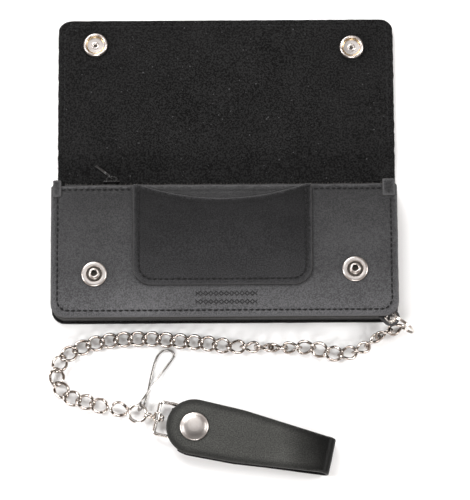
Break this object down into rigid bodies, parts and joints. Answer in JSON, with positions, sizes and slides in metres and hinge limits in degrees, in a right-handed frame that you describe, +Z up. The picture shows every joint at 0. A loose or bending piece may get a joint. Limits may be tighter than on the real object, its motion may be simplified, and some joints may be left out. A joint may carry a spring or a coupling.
{
  "type": "chain wallet",
  "caption": "Long black leather snap wallet lying open, with a card pocket, a zipped coin pocket, a nickel curb chain, a wire key clip and a snap belt strap",
  "frame": {"origin": "the middle of the wallet body's resting face, on the table", "axes": "+X along the wallet's length towards the chain tab, +Y towards the open flap, +Z up out of the front panel"},
  "size_m": [0.1937, 0.2508, 0.0192],
  "materials": {
    "cover_leather": "smooth black full-grain cowhide with a soft grey sheen",
    "flesh_side": "rough black flesh side, matte with a short nap",
    "inner_leather": "thin black lining leather",
    "strap_leather": "smooth black bridle leather with a cut edge",
    "thread": "waxed black thread",
    "zipper_cloth": "black woven tape",
    "zipper_metal": "antique brass teeth",
    "zipper_paint": "black enamelled slider",
    "nickel": "polished nickel plate",
    "chain_nickel": "polished nickel plate with warm tarnish between the links",
    "spring_steel": "spring wire"
  },
  "bodies": {
    "wallet": {"back_cover": "cover_leather", "note_gusset": "inner_leather", "pocket_divider": "inner_leather", "coin_gusset": "inner_leather", "front_panel": "cover_leather", "card_pocket": "cover_leather", "edge_stitching": "thread", "mouth_stitching": "thread", "card_pocket_stitching": "thread", "zipper_tape_front": "zipper_cloth", "zipper_tape_rear": "zipper_cloth", "zipper_teeth": "zipper_metal", "zipper_stops": "zipper_metal", "front_studs": "nickel", "front_stud_posts": "nickel", "chain_tab": "cover_leather", "tab_eyelet": "nickel"},
    "spine": {"spine_band": "flesh_side"},
    "flap": {"flap_leather": "flesh_side", "flap_stitching": "thread", "flap_caps": "nickel", "flap_sockets": "nickel", "flap_socket_springs": "spring_steel"},
    "slider": {"zipper_slider": "zipper_paint"},
    "pull": {"zipper_pull": "zipper_paint"},
    "tab_ring": {"split_ring": "nickel"},
    "chain_01": {"chain_links_01": "chain_nickel"},
    "chain_02": {"chain_links_02": "chain_nickel"},
    "chain_03": {"chain_links_03": "chain_nickel"},
    "chain_04": {"chain_links_04": "chain_nickel"},
    "chain_05": {"chain_links_05": "chain_nickel"},
    "chain_06": {"chain_links_06": "chain_nickel"},
    "chain_07": {"chain_links_07": "chain_nickel"},
    "chain_08": {"chain_links_08": "chain_nickel"},
    "chain_09": {"chain_links_09": "chain_nickel"},
    "chain_10": {"chain_links_10": "chain_nickel"},
    "chain_11": {"chain_links_11": "chain_nickel"},
    "swivel": {"swivel_eye": "nickel"},
    "clip": {"key_clip": "nickel"},
    "loop_ring": {"strap_ring": "nickel"},
    "strap_lower": {"strap_lower_leaf": "strap_leather", "strap_stud": "nickel", "strap_stud_post": "nickel", "strap_fold": "strap_leather"},
    "strap_upper": {"strap_upper_leaf": "strap_leather", "strap_cap": "nickel", "strap_socket": "nickel", "strap_socket_spring": "spring_steel"}
  },
  "joints": [
    {"name": "spine_fold", "type": "hinge", "parent": "wallet", "child": "spine", "pos_m": [0, 0.0449, 0.002], "axis": [1, 0, 0], "range_deg": [0, 90], "deforming": ["spine_band"]},
    {"name": "flap_fold", "type": "hinge", "parent": "spine", "child": "flap", "pos_m": [0, 0.061, 0.0038], "axis": [1, 0, 0], "range_deg": [0, 90]},
    {"name": "slider_travel", "type": "slide", "parent": "wallet", "child": "slider", "axis": [1, 0, 0], "range_m": [-0.018, 0.138]},
    {"name": "pull_swing", "type": "hinge", "parent": "slider", "child": "pull", "pos_m": [-0.06, 0.04015, 0.01], "axis": [0, 0, 1], "range_deg": [-120, 30]},
    {"name": "tab_ring_swing", "type": "hinge", "parent": "wallet", "child": "tab_ring", "pos_m": [0.08795, -0.03622, 0.0098], "axis": [0, 0, 1], "range_deg": [0, 4]},
    {"name": "chain_01_turn", "type": "hinge", "parent": "tab_ring", "child": "chain_01", "pos_m": [0.0949, -0.03965, 0.0044], "axis": [0, 0, 1], "range_deg": [0, 3]},
    {"name": "chain_02_turn", "type": "hinge", "parent": "chain_01", "child": "chain_02", "pos_m": [0.07531, -0.0502, 0.00417], "axis": [0, 0, 1], "range_deg": [0, 3]},
    {"name": "chain_03_turn", "type": "hinge", "parent": "chain_02", "child": "chain_03", "pos_m": [0.0538, -0.05335, 0.00284], "axis": [0, 0, 1], "range_deg": [0, 3]},
    {"name": "chain_04_turn", "type": "hinge", "parent": "chain_03", "child": "chain_04", "pos_m": [0.03182, -0.05106, 0.00447], "axis": [0, 0, 1], "range_deg": [0, 3]},
    {"name": "chain_05_turn", "type": "hinge", "parent": "chain_04", "child": "chain_05", "pos_m": [0.00937, -0.05028, 0.0036], "axis": [0, 0, 1], "range_deg": [0, 3]},
    {"name": "chain_06_turn", "type": "hinge", "parent": "chain_05", "child": "chain_06", "pos_m": [-0.0129, -0.04754, 0.00245], "axis": [0, 0, 1], "range_deg": [0, 3]},
    {"name": "chain_07_turn", "type": "hinge", "parent": "chain_06", "child": "chain_07", "pos_m": [-0.03531, -0.04558, 0.00245], "axis": [0, 0, 1], "range_deg": [-3, 0]},
    {"name": "chain_08_turn", "type": "hinge", "parent": "chain_07", "child": "chain_08", "pos_m": [-0.0578, -0.04584, 0.00245], "axis": [0, 0, 1], "range_deg": [-3, 0]},
    {"name": "chain_09_turn", "type": "hinge", "parent": "chain_08", "child": "chain_09", "pos_m": [-0.07951, -0.05139, 0.00245], "axis": [0, 0, 1], "range_deg": [-3, 0]},
    {"name": "chain_10_turn", "type": "hinge", "parent": "chain_09", "child": "chain_10", "pos_m": [-0.08875, -0.06953, 0.00245], "axis": [0, 0, 1], "range_deg": [-3, 0]},
    {"name": "chain_11_turn", "type": "hinge", "parent": "chain_10", "child": "chain_11", "pos_m": [-0.07016, -0.07991, 0.00245], "axis": [0, 0, 1], "range_deg": [-3, 0]},
    {"name": "swivel_turn", "type": "hinge", "parent": "chain_11", "child": "swivel", "pos_m": [-0.04844, -0.08506, 0.0038], "axis": [0, 0, 1], "range_deg": [-6, 1]},
    {"name": "clip_swing", "type": "hinge", "parent": "swivel", "child": "clip", "pos_m": [-0.0444, -0.0814, 0.0034], "axis": [0, 0, 1], "range_deg": [-8, 0]},
    {"name": "swivel_spin", "type": "hinge", "parent": "swivel", "child": "loop_ring", "pos_m": [-0.036, -0.088, 0.0034], "axis": [0.9763, -0.2164, 0], "continuous": true},
    {"name": "strap_lift", "type": "hinge", "parent": "loop_ring", "child": "strap_lower", "pos_m": [-0.02624, -0.09016, 0.0034], "axis": [0.2164, 0.9763, 0], "range_deg": [-25, 0]},
    {"name": "strap_open", "type": "hinge", "parent": "strap_lower", "child": "strap_upper", "pos_m": [0.05148, -0.10924, 0.0047], "axis": [0.2164, 0.9763, 0], "range_deg": [0, 100], "deforming": ["strap_fold"]}
  ],
  "couplings": [
    {"joint": "flap_fold", "follows": "spine_fold", "ratio": 1}
  ]
}
